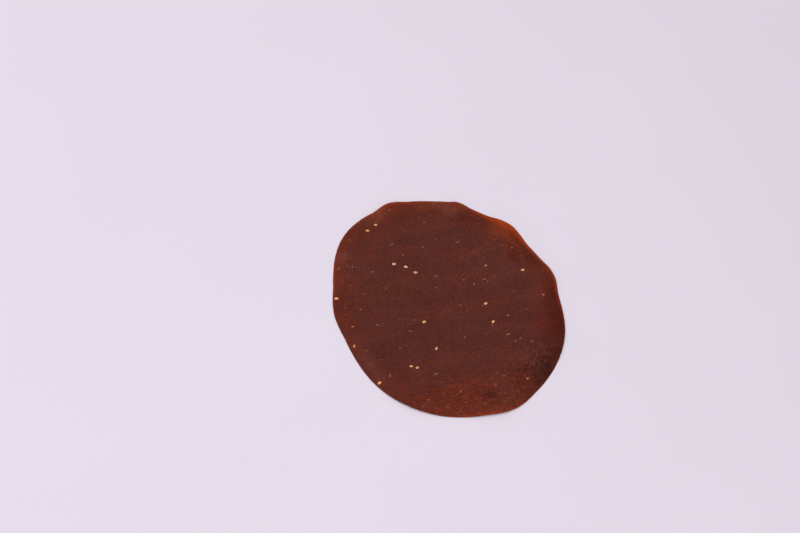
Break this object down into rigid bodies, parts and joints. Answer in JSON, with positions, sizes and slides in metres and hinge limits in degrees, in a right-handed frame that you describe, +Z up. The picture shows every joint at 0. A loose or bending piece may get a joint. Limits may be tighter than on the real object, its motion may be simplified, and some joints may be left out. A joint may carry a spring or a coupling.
{
  "type": "ragi rice papadum",
  "caption": "Thin round rolled and dried papadum of millet and rice dough, with a slightly scalloped, curled rim and seeds pressed into its top.",
  "frame": {"origin": "on the table under the middle of the disc's bounding box, where its flat underside rests", "axes": "+Z up, through the thickness; the seeded top faces +Z; X and Y lie in the disc's plane"},
  "size_m": [0.1784, 0.1804, 0.0038],
  "materials": {
    "dough": "semi-matte, dried and slightly translucent at the rim",
    "sesame": "satin seed skin",
    "cumin": "seed under a skin of dough",
    "chilli": "dried flake of skin"
  },
  "bodies": {
    "root": {"papadum": "dough"}
  },
  "joints": []
}
